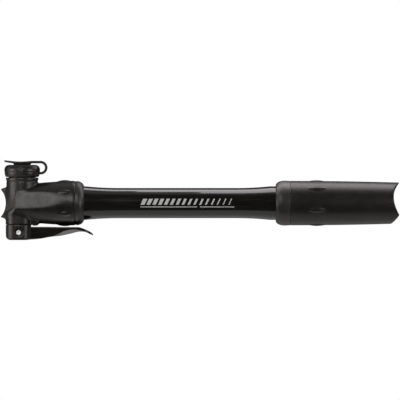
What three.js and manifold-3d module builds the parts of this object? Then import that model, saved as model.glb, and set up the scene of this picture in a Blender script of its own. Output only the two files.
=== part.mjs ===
// A bicycle mini pump: a T-shaped valve head with a thumb lock, a slim butted barrel, and a handle
// that slides off the barrel on a piston rod.
//
// Millimetres, +Z up. The pump lies on its side: x runs from the head's palm end to the handle's palm
// end, y points the way that the valve mouth faces, and z runs across the head, up from the table.
// Every piece is drawn in the pump's own axes, where x = 0 is the head's palm end and the barrel's
// axis is y = 0, z = 0. The last lines move the whole pump so that its footprint is centred.

import * as THREE from "three";
import { mergeVertices } from "three/addons/utils/BufferGeometryUtils.js";
import Module from "manifold-3d";

const wasm = await Module();
wasm.setup();

// ---------------------------------------------------------------- driving dimensions

const LENGTH = 218; // palm end to palm end
const HALF_DEPTH = 12.3; // barrel axis to the widest part, the ring at the handle's mouth
const CAP_TOP = 23.5; // barrel axis to the tip of the dust cap's tab
const CLEVIS_BOTTOM = -20.2; // barrel axis to the bottom of the lever's clevis

const GAP = 0.2; // between pieces that are fixed to each other
const SLIP = 0.15; // between pieces that slide or turn on each other
const SIDES = 32; // facets round a turned piece
const FINE_SIDES = 40; // facets round the grip and the jacket
const SMALL_SIDES = 20; // facets round a screw, pin, seal or piece that nobody sees

const BOSS_X = 11.7; // the valve axis
const BOSS_R = 8.7; // rubber-covered boss
const COLUMN_R = 7.5; // moulding inside the boss, and the neck that the nut screws on
const LOWER_COLUMN_R = 5.4; // moulding round the plunger
const BOSS_TOP = 13.95;
const SEAM_Y = -11.8; // where the rubber ends above the clevis
const NECK_TOP = 17.9;
const GASKET_BORE_R = 6.2;
const GASKET_BORE_FLOOR = 4.5;
const PLUNGER_BORE_R = 4.2;

const BARREL_R = 8.26; // middle of the barrel
const BARREL_END_R = 9.22; // butted ends
const BORE_R = 7.4;
const BARREL_START = 31.5;
const BARREL_STOP = 191.5;
const HEAD_FLARE = [46.2, 65]; // the left butt thins between these
const HANDLE_FLARE = [147.5, 129]; // the right butt thins between these

const HEAD_FACE = 46.2; // where the barrel comes out of the head
const JACKET_END = 40.7;
const HANDLE_START = 150.4;
const GRIP_START = 158.7;
const GRIP_R = 12.17;
const GRIP_TAPER = 0.76; // how much the grip's radius loses by its end
const GRIP_TURN = 12; // degrees that the handle is turned on its rod

const BUMP_COUNT = 6;
const ROD_R = 3.5;
const ROD_HOLE_R = 1.7;
const PIN = { x: 9.96, y: -16.14, r: 1.33 };
const CAM_LOW = 3.8; // lever pin to plunger foot, unlocked
const CAM_LIFT = 1.6; // how far the lever's quarter turn lifts the plunger
const SLOT_HALF = 4.8; // half the clevis slot's width
const LEVER_HALF = 4.55;
const LEVER_TIP_X = 50.4;

// ---------------------------------------------------------------- helpers

// A closed geometry as a solid that can be joined and cut.
function solid(geometry) {
  const flat = geometry.index ? geometry.toNonIndexed() : geometry;
  const bare = new THREE.BufferGeometry().setAttribute("position", flat.getAttribute("position"));
  const merged = mergeVertices(bare, 1e-4);
  return new wasm.Manifold(
    new wasm.Mesh({
      numProp: 3,
      vertProperties: merged.attributes.position.array,
      triVerts: new Uint32Array(merged.index.array),
    }),
  );
}

// A solid's surface as a geometry.
function geometryOf(made) {
  const mesh = made.getMesh();
  const geometry = new THREE.BufferGeometry();
  geometry.setAttribute("position", new THREE.BufferAttribute(new Float32Array(mesh.vertProperties), 3));
  geometry.setIndex(new THREE.BufferAttribute(new Uint32Array(mesh.triVerts), 1));
  geometry.computeVertexNormals();
  return geometry;
}

// A turned piece from its outline, a list of [place along the axis, radius]. The outline starts and
// ends on the axis, or it is the section of a ring.
function turnedGeometry(outline, sides = SIDES) {
  const points = outline.map(([along, radius]) => new THREE.Vector2(radius, along));
  const meetsAxis = outline[0][1] === 0 && outline.at(-1)[1] === 0;
  if (!meetsAxis) points.push(points[0].clone());
  if (THREE.ShapeUtils.area(points) < 0) points.reverse();
  return new THREE.LatheGeometry(points, sides);
}

// Turned about the barrel's axis.
const turnedX = (outline, sides) => solid(turnedGeometry(outline, sides).rotateZ(-Math.PI / 2));

// Turned about the valve's axis.
const turnedY = (outline, sides) => solid(turnedGeometry(outline, sides).translate(BOSS_X, 0, 0));

// A plain rod or hole from one place to another along the valve's axis.
const columnY = (from, to, radius, sides = SIDES) =>
  turnedY([[from, 0], [from, radius], [to, radius], [to, 0]], sides);

// A plain rod or hole along the barrel's axis.
const columnX = (from, to, radius, sides = SIDES) =>
  turnedX([[from, 0], [from, radius], [to, radius], [to, 0]], sides);

// A tube or washer along the barrel's axis.
const sleeveX = (from, to, inner, outer, sides = SMALL_SIDES) =>
  turnedX([[from, inner], [from, outer], [to, outer], [to, inner]], sides);

// A plain rod or hole across the pump, along z.
const columnZ = (x, y, radius, halfLength, sides = SMALL_SIDES) =>
  solid(new THREE.CylinderGeometry(radius, radius, 2 * halfLength, sides).rotateX(Math.PI / 2).translate(x, y, 0));

// An O-ring's section as a turned outline.
function ringOutline(along, radius, thickness, corners = 6) {
  return Array.from({ length: corners }, (_, i) => {
    const angle = (2 * Math.PI * i) / corners;
    return [along + (thickness / 2) * Math.sin(angle), radius + (thickness / 2) * Math.cos(angle)];
  });
}

// A side view (x, y) cut from a plate that is 2 * half thick.
const plateZ = (shape, half, curveSegments = 8) =>
  solid(
    new THREE.ExtrudeGeometry(shape, { depth: 2 * half, bevelEnabled: false, curveSegments }).translate(0, 0, -half),
  );

// A plan view (x, z) as a column from one height to another. The shape's y is the pump's z.
const plateY = (shape, low, high, curveSegments = 8) =>
  solid(
    new THREE.ExtrudeGeometry(shape, { depth: high - low, bevelEnabled: false, curveSegments })
      .rotateX(Math.PI / 2)
      .translate(0, high, 0),
  );

const box = (x0, x1, y0, y1, halfZ) =>
  solid(new THREE.BoxGeometry(x1 - x0, y1 - y0, 2 * halfZ).translate((x0 + x1) / 2, (y0 + y1) / 2, 0));

const join = (first, ...rest) => rest.reduce((sum, next) => sum.add(next), first);
const cut = (first, ...rest) => rest.reduce((left, tool) => left.subtract(tool), first);

// The almond-shaped bumps that ring the head and the grip: flattened balls that are half sunk, with
// their crests at the radius given.
const BUMP = { halfWidth: 1.75, rise: 0.85 };

function bumps(x, crest, turnDegrees, halfLength) {
  return Array.from({ length: BUMP_COUNT }, (_, i) => {
    const angle = THREE.MathUtils.degToRad(turnDegrees + (360 * i) / BUMP_COUNT);
    const almond = new THREE.SphereGeometry(1, 8, 6)
      .rotateZ(Math.PI / 2)
      .scale(halfLength, BUMP.rise, BUMP.halfWidth)
      .translate(x, crest - BUMP.rise, 0)
      .rotateX(angle);
    return solid(almond);
  });
}

// ---------------------------------------------------------------- materials

const finish = (color, roughness, metalness = 0) => new THREE.MeshStandardMaterial({ color, roughness, metalness });
const gripRubber = finish("#2b2727", 0.6);
const blackPlastic = finish("#211e1e", 0.42);
const glossBlack = finish("#0b0a09", 0.08, 0.3);
const softRubber = finish("#191817", 0.7);
const aluminium = finish("#b9babd", 0.3, 1);
const steel = finish("#e2e0de", 0.22, 1);
const whiteNylon = finish("#dcd8cf", 0.5);

const pump = new THREE.Group();

function add(name, made, material) {
  const mesh = new THREE.Mesh(geometryOf(made), material);
  mesh.name = name;
  pump.add(mesh);
}

// ---------------------------------------------------------------- head

// Half the head's height, half its depth as an oval, and half its depth across its flat cheeks, at
// places along x. The cheeks taper towards the palm end and lean in towards the valve.
const HEAD_SECTIONS = [
  { x: 0, high: 7.8, deep: 8.6, flat: 0.4 },
  { x: 2.4, high: 8.6, deep: 9.4, flat: 3.2 },
  { x: 8, high: 9.3, deep: 10.5, flat: 9.6 },
  { x: 18.4, high: 10.9, deep: 11.5, flat: 10.74 },
  { x: 28.9, high: 11.65, deep: 12.05, flat: 11.9 },
  { x: 39.9, high: 12.1, deep: 12.1, flat: 13 },
  { x: JACKET_END, high: 12, deep: 12, flat: 13 },
];
const CHEEK_LEAN = 0.15; // how far a cheek leans in, for each millimetre towards the valve
const HORN_HALF = 1; // half the thickness of the saddle's two horns at their tips
const SADDLE_R = 11.6; // the palm end is hollowed to this radius, across the pump
const SADDLE_DEPTH = 2.75;

// The horizontal part of the jacket: an oval that grows round towards the barrel, with two flat
// cheeks that slope steeply to the palm end, and a saddle there for the palm.
function headOval() {
  const outline = [[0, 0], ...HEAD_SECTIONS.map(({ x }) => [x, 1]), [JACKET_END, 0]];
  const geometry = turnedGeometry(outline, FINE_SIDES).rotateZ(-Math.PI / 2);
  const place = geometry.getAttribute("position");
  for (let i = 0; i < place.count; i++) {
    const section = HEAD_SECTIONS.find(({ x }) => Math.abs(x - place.getX(i)) < 1e-3);
    const y = place.getY(i) * section.high;
    const flat = Math.max(section.flat - CHEEK_LEAN * y, HORN_HALF);
    place.setXYZ(i, place.getX(i), y, THREE.MathUtils.clamp(place.getZ(i) * section.deep, -flat, flat));
  }
  return cut(solid(geometry), columnZ(SADDLE_DEPTH - SADDLE_R, 0, SADDLE_R, HALF_DEPTH, 72));
}

// The lever's end of the head in plan: a rounded block, narrower than the valve's boss.
const BLOCK = { x: 9.85, halfWidth: 7.35, halfDepth: 8.9, power: 2.6 };

function blockPlan(grow = 0) {
  const rounded = (part) => Math.sign(part) * Math.abs(part) ** (2 / BLOCK.power);
  const plan = Array.from({ length: SIDES }, (_, i) => {
    const angle = (2 * Math.PI * (i + 0.5)) / SIDES;
    return new THREE.Vector2(
      BLOCK.x + (BLOCK.halfWidth + grow) * rounded(Math.cos(angle)),
      (BLOCK.halfDepth + grow) * rounded(Math.sin(angle)),
    );
  });
  return new THREE.Shape(plan);
}

const GUSSET = { right: 20.7, bottom: -12.3, half: 5.6 }; // thickens the block's barrel side

const JACKET_WALL = 1; // round the lever's end

// The outside of the moulding under the rubber, grown by a clearance.
function mouldingOutside(grow, top, bottom) {
  const along = turnedX([
    [5 - grow, 0],
    [5 - grow, 4.6 + grow],
    [12, 8.1 + grow],
    [21, 9.7 + grow],
    [30, 10.3 + grow],
    [JACKET_END + grow, 10.7 + grow],
    [JACKET_END + grow, 0],
  ]);
  const block = plateY(blockPlan(grow - JACKET_WALL), bottom, -4);
  return join(along, block, columnY(bottom, 0, LOWER_COLUMN_R + grow), columnY(0, top, COLUMN_R + grow));
}

function headJacket() {
  const boss = turnedY([
    [0, 0],
    [0, BOSS_R],
    [BOSS_TOP - 1, BOSS_R],
    [BOSS_TOP - 0.7, BOSS_R + 0.2],
    [BOSS_TOP - 0.15, BOSS_R + 0.2],
    [BOSS_TOP, BOSS_R],
    [BOSS_TOP, 0],
  ]);
  const lowerBoss = plateY(blockPlan(), SEAM_Y, -4);
  const gusset = box(BLOCK.x, GUSSET.right, GUSSET.bottom, -6, GUSSET.half);
  const underGusset = box(0, CLEVIS.right + GAP, GUSSET.bottom - 1, SEAM_Y, HALF_DEPTH);
  const outside = join(headOval(), boss, lowerBoss, cut(gusset, underGusset), ...bumps(35.1, 12.7, 0, 4.4));
  return cut(outside, mouldingOutside(GAP, BOSS_TOP + 1, GUSSET.bottom - 1), columnX(30, JACKET_END + 1, 10.9));
}

// The clevis that carries the lever: two cheeks and a back wall, rounded at their lower corners.
const CLEVIS = { left: 2.5, right: 17.2, corner: 3, ceiling: -12.1, back: 4.1 };

function clevis() {
  const { left, right, corner } = CLEVIS;
  const top = SEAM_Y - GAP;
  const side = new THREE.Shape();
  side.moveTo(left, top);
  side.lineTo(left, CLEVIS_BOTTOM + corner);
  side.absarc(left + corner, CLEVIS_BOTTOM + corner, corner, Math.PI, 1.5 * Math.PI, false);
  side.absarc(right - corner, CLEVIS_BOTTOM + corner, corner, 1.5 * Math.PI, 2 * Math.PI, false);
  side.lineTo(right, top);
  const block = plateY(blockPlan(), CLEVIS_BOTTOM - 1, top).intersect(plateZ(side, HALF_DEPTH));
  const slot = box(CLEVIS.back, 30, CLEVIS_BOTTOM - 1, CLEVIS.ceiling, SLOT_HALF);
  return cut(block, slot, columnZ(PIN.x, PIN.y, PIN.r + 0.07, HALF_DEPTH));
}

const CAM_POCKET = { left: 6.3, right: 14, top: -10.1 }; // room for the cam as it rises
const SOCKET_FLOOR = 30.2; // the barrel screws in as far as the seal that lies here
const VALVE_POCKET = { from: 26.2, radius: 5.2 };

function headCore() {
  const outside = join(mouldingOutside(0, NECK_TOP, SEAM_Y - GAP), clevis());
  return cut(
    outside,
    columnX(JACKET_END, JACKET_END + 1, 12),
    columnY(GASKET_BORE_FLOOR, NECK_TOP + 1, GASKET_BORE_R),
    columnY(CLEVIS.ceiling - 0.5, GASKET_BORE_FLOOR + 0.1, PLUNGER_BORE_R),
    box(CAM_POCKET.left, CAM_POCKET.right, CLEVIS.ceiling - 0.5, CAM_POCKET.top, SLOT_HALF),
    columnX(BOSS_X, VALVE_POCKET.from + 0.1, 1.5, SMALL_SIDES),
    columnX(VALVE_POCKET.from, SOCKET_FLOOR + 0.1, VALVE_POCKET.radius),
    columnX(SOCKET_FLOOR, JACKET_END + 1, BARREL_END_R + GAP),
  );
}

// The ring that closes the head round the barrel.
function headCollar() {
  const nose = new THREE.QuadraticBezierCurve(
    new THREE.Vector2(42, 12.08),
    new THREE.Vector2(44.6, 11.7),
    new THREE.Vector2(HEAD_FACE, BARREL_END_R + 0.35),
  );
  const start = JACKET_END + 0.35;
  return turnedX([
    [start, BARREL_END_R + GAP],
    [start, 11.7],
    [start + 0.35, 12.08],
    ...nose.getPoints(5).map((p) => [p.x, p.y]),
    [HEAD_FACE, BARREL_END_R + GAP],
  ]);
}

add("head_core", headCore(), blackPlastic);
add("head_jacket", headJacket(), gripRubber);
add("head_collar", headCollar(), gripRubber);

// ---------------------------------------------------------------- valve stack, in the head's column

const NUT = { bottom: 14.25, top: 20.95, mouth: 4.6, lip: 18.2, groove: [15.55, 17.15], grooveR: 8.45, r: 9.8 };
const FLUTES = 8;

function collarNut() {
  const body = turnedY([
    [NUT.bottom, COLUMN_R + GAP],
    [NUT.bottom, 8.75],
    [NUT.bottom + 0.3, 9.05],
    [NUT.groove[0] - 0.15, 9.45],
    [NUT.groove[0], 9.35],
    [NUT.groove[0], NUT.grooveR],
    [NUT.groove[1], NUT.grooveR],
    [NUT.groove[1], 9.7],
    [NUT.groove[1] + 0.2, NUT.r],
    [18.7, NUT.r],
    [19.7, 9.4],
    [20.5, 8.8],
    [NUT.top, 7.9],
    [NUT.top, NUT.mouth + 0.3],
    [NUT.top - 0.8, NUT.mouth],
    [NUT.lip, NUT.mouth],
    [NUT.lip, COLUMN_R + GAP],
  ]);
  const flutes = Array.from({ length: FLUTES }, (_, i) =>
    columnY(NUT.bottom - 1, NUT.top + 1, 0.9, 10)
      .translate([0, 0, NUT.r + 0.5])
      .translate([-BOSS_X, 0, 0])
      .rotate([0, (360 * i) / FLUTES, 0])
      .translate([BOSS_X, 0, 0]),
  );
  return cut(body, ...flutes);
}

// The rubber ring that lies in the nut's groove and holds the dust cap's strap.
const strapRing = () =>
  turnedY([
    [NUT.groove[0] + 0.1, NUT.grooveR + SLIP],
    [NUT.groove[0] + 0.1, 9.6],
    [16.35, 9.72],
    [NUT.groove[1] - 0.1, 9.65],
    [NUT.groove[1] - 0.1, NUT.grooveR + SLIP],
  ]);

// Gasket: wide bore on the outer half for one kind of valve, narrow bore on the inner half for the other.
const GASKET = { bottom: 8, middle: 12.6, top: 17.4 };
const valveGasket = () =>
  turnedY([
    [GASKET.bottom, 2.9],
    [GASKET.bottom, 6],
    [GASKET.top, 6],
    [GASKET.top, 3.9],
    [GASKET.middle, 3.9],
    [GASKET.middle - 0.8, 2.9],
  ]);

const gasketWasher = () => turnedY([[17.55, 4.7], [17.55, 6], [18.05, 6], [18.05, 4.7]], SMALL_SIDES);

// The plunger that the lever's cam lifts to squeeze the gasket round a valve.
const PLATE_TOP = 7.8;
const FOOT_Y = PIN.y + CAM_LOW + 0.15;
const PLUNGER_R = PLUNGER_BORE_R - 0.15;

function lockPlunger() {
  const body = turnedY([
    [FOOT_Y, 0],
    [FOOT_Y, 3.5],
    [FOOT_Y + 1, PLUNGER_R],
    [-8.6, PLUNGER_R],
    [-8.6, PLUNGER_R - 0.9],
    [-7.2, PLUNGER_R - 0.9],
    [-7.2, PLUNGER_R],
    [-5, PLUNGER_R],
    [-4.2, 2.2],
    [3.6, 2.2],
    [5.4, 5.9],
    [PLATE_TOP, 5.9],
    [PLATE_TOP, 0.85],
    [PLATE_TOP - 1.6, 0.85],
    [PLATE_TOP - 1.6, 0],
  ], SMALL_SIDES);
  const airHoles = Array.from({ length: 4 }, (_, i) => {
    const angle = (Math.PI * i) / 2;
    return columnY(3, PLATE_TOP + 1, 0.7, 10).translate([3.7 * Math.cos(angle), 0, 3.7 * Math.sin(angle)]);
  });
  return cut(body, ...airHoles);
}

const plungerSeal = () => turnedY(ringOutline(-7.9, PLUNGER_R - 0.35, 0.85), SMALL_SIDES);
const depressorPin = () =>
  turnedY([[PLATE_TOP - 1.5, 0], [PLATE_TOP - 1.5, 0.7], [10, 0.7], [10.6, 0.4], [10.6, 0]], 12);

add("collar_nut", collarNut(), blackPlastic);
add("strap_ring", strapRing(), softRubber);
add("valve_gasket", valveGasket(), softRubber);
add("gasket_washer", gasketWasher(), whiteNylon);
add("lock_plunger", lockPlunger(), whiteNylon);
add("plunger_seal", plungerSeal(), softRubber);
add("depressor_pin", depressorPin(), steel);

// ---------------------------------------------------------------- dust cap and its strap

const STRAP = { x: 21.8, y: 19.4, r: 3.04, thick: 1.3, half: 2.1, capEnd: 17.6 };

// The strap leaves its ring, loops over, and runs back along the top to the cap.
function capStrap() {
  const { x, y, r, thick, half, capEnd } = STRAP;
  const outer = r + thick / 2;
  const inner = r - thick / 2;
  const start = BOSS_X + 9.72 + GAP;
  const side = new THREE.Shape();
  side.moveTo(start, y - outer);
  side.lineTo(x, y - outer);
  side.absarc(x, y, outer, -Math.PI / 2, Math.PI / 2, false);
  side.lineTo(capEnd, y + outer);
  side.lineTo(capEnd, y + inner);
  side.lineTo(x, y + inner);
  side.absarc(x, y, inner, Math.PI / 2, -Math.PI / 2, true);
  side.lineTo(start, y - inner);
  return plateZ(side, half, 10);
}

// The cap: a plug for the nut's mouth under a thin lid, whose tab curls up for a fingertip.
function dustCap() {
  const plug = turnedY([
    [19.7, 0],
    [19.7, 3.9],
    [20.1, 4.25],
    [21.1, 4.25],
    [21.1, 4.8],
    [21.7, 5],
    [22.2, 5],
    [22.2, 0],
  ]);
  const lidEnd = STRAP.capEnd - GAP;
  const lidSide = new THREE.Shape();
  lidSide.moveTo(lidEnd, STRAP.y + STRAP.r + STRAP.thick / 2);
  lidSide.quadraticCurveTo(12, 22.6, 7.5, 22.9);
  lidSide.lineTo(1.9, CAP_TOP);
  lidSide.lineTo(2.1, CAP_TOP - 1.05);
  lidSide.quadraticCurveTo(7, 21.6, 12, 21.55);
  lidSide.lineTo(lidEnd, STRAP.y + STRAP.r - STRAP.thick / 2);
  const tabHalf = 3.4;
  const plan = new THREE.Shape();
  plan.moveTo(lidEnd, -STRAP.half);
  plan.lineTo(lidEnd, STRAP.half);
  plan.lineTo(16.2, 2.6);
  plan.absarc(BOSS_X, 0, 5.2, 0.5, 2.4, false);
  plan.lineTo(4.5, tabHalf);
  plan.absarc(1.9 + tabHalf, 0, tabHalf, 0.6 * Math.PI, 1.4 * Math.PI, false);
  plan.absarc(BOSS_X, 0, 5.2, -2.4, -0.5, false);
  plan.lineTo(16.2, -2.6);
  return join(plug, plateZ(lidSide, 8).intersect(plateY(plan, 20, 25)));
}

add("cap_strap", capStrap(), softRubber);
add("dust_cap", dustCap(), softRubber);

// ---------------------------------------------------------------- thumb lever

// The cam's rim, seen from the pin. Its reach towards the plunger grows in proportion to the turn
// (an involute), so the plunger rises evenly as the lever swings down.
function camRim(steps = 10) {
  const growth = CAM_LIFT / (Math.PI / 2);
  return Array.from({ length: steps + 1 }, (_, i) => {
    const turn = ((Math.PI / 2) * i) / steps;
    const reach = CAM_LOW + growth * turn;
    const angle = Math.PI / 2 + turn;
    return new THREE.Vector2(
      PIN.x + reach * Math.cos(angle) - growth * Math.sin(angle),
      PIN.y + reach * Math.sin(angle) + growth * Math.cos(angle),
    );
  });
}

const LEVER = { top: -12.97, bottom: CLEVIS_BOTTOM + 0.2, padHalf: 7 };

function thumbLever() {
  const side = new THREE.Shape();
  side.moveTo(43, LEVER.top);
  side.lineTo(12.5, LEVER.top);
  camRim().forEach((p) => side.lineTo(p.x, p.y));
  side.quadraticCurveTo(PIN.x - 4.9, LEVER.bottom, PIN.x, LEVER.bottom);
  side.lineTo(16, LEVER.bottom);
  side.quadraticCurveTo(30, -18.6, 43.3, -15.5);
  side.quadraticCurveTo(46.5, -15.3, LEVER_TIP_X - 0.2, -17.7);
  side.lineTo(LEVER_TIP_X, -17);
  side.quadraticCurveTo(46.5, -13.2, 43, LEVER.top);
  const plan = new THREE.Shape();
  plan.moveTo(2, -LEVER_HALF);
  plan.lineTo(19.5, -LEVER_HALF);
  plan.quadraticCurveTo(30, -LEVER_HALF - 0.4, 39, -LEVER.padHalf);
  plan.bezierCurveTo(47, -LEVER.padHalf - 0.6, LEVER_TIP_X, -5, LEVER_TIP_X, 0);
  plan.bezierCurveTo(LEVER_TIP_X, 5, 47, LEVER.padHalf + 0.6, 39, LEVER.padHalf);
  plan.quadraticCurveTo(30, LEVER_HALF + 0.4, 19.5, LEVER_HALF);
  plan.lineTo(2, LEVER_HALF);
  const body = plateZ(side, HALF_DEPTH).intersect(plateY(plan, -25, -10));
  return cut(body, columnZ(PIN.x, PIN.y, PIN.r + SLIP, HALF_DEPTH));
}

add("thumb_lever", thumbLever(), blackPlastic);
add("lever_pin", columnZ(PIN.x, PIN.y, PIN.r, 8.6), steel);

// ---------------------------------------------------------------- barrel

// The barrel's outer radius: constant in the middle, swelling as a square law to the butted ends.
function flare([full, thin], steps = 5) {
  return Array.from({ length: steps + 1 }, (_, i) => {
    const share = i / steps;
    return [thin + (full - thin) * share, BARREL_R + (BARREL_END_R - BARREL_R) * share ** 2];
  });
}

const barrel = () =>
  turnedX([
    [BARREL_START, BORE_R],
    [BARREL_START, BARREL_END_R],
    ...flare(HEAD_FLARE).reverse(),
    ...flare(HANDLE_FLARE),
    [BARREL_STOP, BARREL_END_R],
    [BARREL_STOP, BORE_R],
  ]);

const barrelSeal = () => turnedX(ringOutline((SOCKET_FLOOR + BARREL_START) / 2, 8.3, 0.95), SMALL_SIDES);

// One-way valve: a rubber umbrella whose stem passes through a drilled seat.
const valveSeat = () => sleeveX(27.4, 30.1, 1.1, 5);
const valveFlap = () =>
  turnedX(
    [[26.4, 0], [26.6, 3.4], [27.2, 3.6], [27.2, 0.9], [30.3, 0.9], [30.6, 1.5], [31.4, 0.8], [31.4, 0]],
    SMALL_SIDES,
  );

const END_CAP = { spigot: 184.7, start: BARREL_STOP + GAP, end: 194.7 };

const barrelEndCap = () =>
  turnedX([
    [END_CAP.spigot, 4.9],
    [END_CAP.spigot, BORE_R - 0.1],
    [END_CAP.start, BORE_R - 0.1],
    [END_CAP.start, BARREL_END_R],
    [END_CAP.end - 0.8, BARREL_END_R],
    [END_CAP.end, 8.4],
    [END_CAP.end, ROD_R + 0.3],
    [END_CAP.end - 1.3, ROD_R + 0.3],
    [END_CAP.end - 1.3, 4.9],
  ]);

const rodBush = () => sleeveX(END_CAP.spigot + 0.3, END_CAP.end - 1.5, ROD_R + 0.1, 4.7);

add("barrel", barrel(), glossBlack);
add("barrel_seal", barrelSeal(), softRubber);
add("check_valve_seat", valveSeat(), whiteNylon);
add("check_valve_flap", valveFlap(), softRubber);
add("barrel_end_cap", barrelEndCap(), blackPlastic);
add("rod_bush", rodBush(), whiteNylon);

// ---------------------------------------------------------------- piston and rod

const PISTON = { front: 33, ringFrom: 36, ringTo: 37.4, hub: 39, back: 44 };
const ROD_END = 203.5;

const pistonBody = () =>
  turnedX([
    [PISTON.front, 2.9],
    [PISTON.front, BORE_R - 0.5],
    [PISTON.front + 0.4, BORE_R - 0.15],
    [PISTON.ringFrom, BORE_R - 0.15],
    [PISTON.ringFrom, 6],
    [PISTON.ringTo, 6],
    [PISTON.ringTo, BORE_R - 0.15],
    [41, BORE_R - 0.15],
    [41.5, 5.2],
    [PISTON.back, 5.2],
    [PISTON.back, ROD_R + GAP],
    [PISTON.hub, ROD_R + GAP],
    [PISTON.hub, 1.8],
    [PISTON.front + 2.2, 1.8],
    [PISTON.front + 2.2, 2.9],
  ], SMALL_SIDES);

const pistonRing = () => turnedX(ringOutline((PISTON.ringFrom + PISTON.ringTo) / 2, 6.72, 1.2), SMALL_SIDES);

// A cap screw along the barrel's axis: its head starts at headAt and its shank runs to tip.
function axialScrew(headAt, shoulder, tip, headR) {
  return turnedX(
    [
      [headAt, 0],
      [headAt, headR],
      [shoulder, headR],
      [shoulder, ROD_HOLE_R - 0.1],
      [tip, ROD_HOLE_R - 0.1],
      [tip, 0],
    ],
    SMALL_SIDES,
  );
}

const pistonRod = () => sleeveX(PISTON.hub + GAP, ROD_END, ROD_HOLE_R, ROD_R);

const bumpStop = () =>
  turnedX([
    [PISTON.back + GAP, ROD_R + GAP],
    [PISTON.back + GAP, 6],
    [46.4, 6],
    [46.9, 5.5],
    [46.9, ROD_R + GAP],
  ], SMALL_SIDES);

add("piston_rod", pistonRod(), aluminium);
add("piston_body", pistonBody(), whiteNylon);
add("piston_ring", pistonRing(), softRubber);
add("piston_screw", axialScrew(PISTON.front + 0.3, PISTON.front + 2, 50, 2.6), steel);
add("bump_stop", bumpStop(), softRubber);

// ---------------------------------------------------------------- handle

const CORE = { inner: 9.6, outer: 10.75, wall: 203.8, end: 206.5, hole: 2.2 };

// The stiff sleeve inside the grip. Its end wall turns on the rod's screw.
const handleCore = () =>
  turnedX([
    [GRIP_START, CORE.inner],
    [GRIP_START, CORE.outer],
    [CORE.end, CORE.outer],
    [CORE.end, CORE.hole],
    [CORE.wall, CORE.hole],
    [CORE.wall, CORE.inner],
  ]);

// The palm end: three horns, each midway between two bumps, and a dished middle. Depth below the
// horns' tips, at a share of the rim's radius and an angle from the first bump.
const PALM = { dish: 3.2, rimLift: 0.95, wave: 2.25, rim: 11 };
const palmDepth = (share, angle) =>
  PALM.dish - PALM.rimLift * share ** 2 - PALM.wave * share ** 3 * Math.sin(3 * angle);

function handleGrip() {
  const outerR = (x) => GRIP_R - GRIP_TAPER * ((x - GRIP_START) / 54.2) ** 2;
  const wall = [GRIP_START + 0.35, 175, 190, 202, 211.5].map((x) => [x, outerR(x)]);
  const palm = [PALM.rim, 9.4, 7.2, 5, 2.6, 0].map((radius) => [LENGTH, radius]);
  const outline = [
    [209.8, 0],
    [209.8, 5],
    [CORE.end + GAP, 5],
    [CORE.end + GAP, CORE.outer + GAP],
    [GRIP_START, CORE.outer + GAP],
    [GRIP_START, GRIP_R - 0.35],
    ...wall,
    ...palm,
  ];
  const geometry = turnedGeometry(outline, FINE_SIDES).rotateZ(-Math.PI / 2);
  const place = geometry.getAttribute("position");
  for (let i = 0; i < place.count; i++) {
    if (place.getX(i) < LENGTH - 1e-3) continue;
    const y = place.getY(i);
    const z = place.getZ(i);
    place.setX(i, LENGTH - palmDepth(Math.hypot(y, z) / PALM.rim, Math.atan2(z, y)));
  }
  return join(solid(geometry), ...bumps(172.8, 12.72, 0, 5.4)).rotate([-GRIP_TURN, 0, 0]);
}

// The rounded ring at the handle's mouth.
function handleCollar() {
  const nose = Array.from({ length: 7 }, (_, i) => {
    const angle = (Math.PI / 2) * (i / 6);
    return [155.1 - 4.7 * Math.cos(angle), 9.7 + 2.6 * Math.sin(angle)];
  });
  return turnedX([
    [HANDLE_START, CORE.inner],
    ...nose,
    [GRIP_START - 0.7, 12.2],
    [GRIP_START - 0.35, 11.9],
    [GRIP_START - 0.35, CORE.inner],
  ]);
}

const handleWasher = () => sleeveX(CORE.end + GAP, CORE.end + 0.8, ROD_HOLE_R + 0.1, 4.4);

add("handle_core", handleCore(), blackPlastic);
add("handle_grip", handleGrip(), gripRubber);
add("handle_collar", handleCollar(), gripRubber);
add("handle_washer", handleWasher(), steel);
add("handle_screw", axialScrew(CORE.end + 3, CORE.end + 1, 192, 2.9), steel);

// ---------------------------------------------------------------- place in the part's frame

pump.position.set(-LENGTH / 2, -(CAP_TOP + CLEVIS_BOTTOM) / 2, HALF_DEPTH);

export default pump;
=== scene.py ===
"""A satin black bicycle mini pump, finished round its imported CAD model.

Lengths are millimetres in the pump's own axes, the ones that its CAD is drawn in: x from the head's
palm end, y from the barrel's axis towards the valve mouth, z from the barrel's axis up from the table.
to_frame() turns them into metres in the part's frame. What a CAD node fixes is read from its box.
"""

import math

import bpy
import numpy as np
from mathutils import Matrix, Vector


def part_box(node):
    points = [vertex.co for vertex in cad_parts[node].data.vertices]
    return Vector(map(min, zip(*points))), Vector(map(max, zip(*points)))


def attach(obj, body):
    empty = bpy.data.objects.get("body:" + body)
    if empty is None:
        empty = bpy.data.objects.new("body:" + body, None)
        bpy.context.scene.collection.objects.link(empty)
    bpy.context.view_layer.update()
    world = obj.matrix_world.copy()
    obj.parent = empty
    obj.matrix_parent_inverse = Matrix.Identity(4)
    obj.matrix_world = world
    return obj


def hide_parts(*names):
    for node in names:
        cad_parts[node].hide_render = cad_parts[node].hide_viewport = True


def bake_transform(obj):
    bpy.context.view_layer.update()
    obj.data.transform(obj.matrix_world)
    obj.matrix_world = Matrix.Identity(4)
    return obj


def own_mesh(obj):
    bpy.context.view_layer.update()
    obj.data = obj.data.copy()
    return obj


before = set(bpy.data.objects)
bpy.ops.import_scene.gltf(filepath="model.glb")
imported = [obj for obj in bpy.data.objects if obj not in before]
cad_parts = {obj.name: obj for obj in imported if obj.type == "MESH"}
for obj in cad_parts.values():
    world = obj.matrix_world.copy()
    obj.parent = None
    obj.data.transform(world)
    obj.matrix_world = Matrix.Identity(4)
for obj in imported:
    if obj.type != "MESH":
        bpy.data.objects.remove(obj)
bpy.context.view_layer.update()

MM = 0.001
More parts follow.
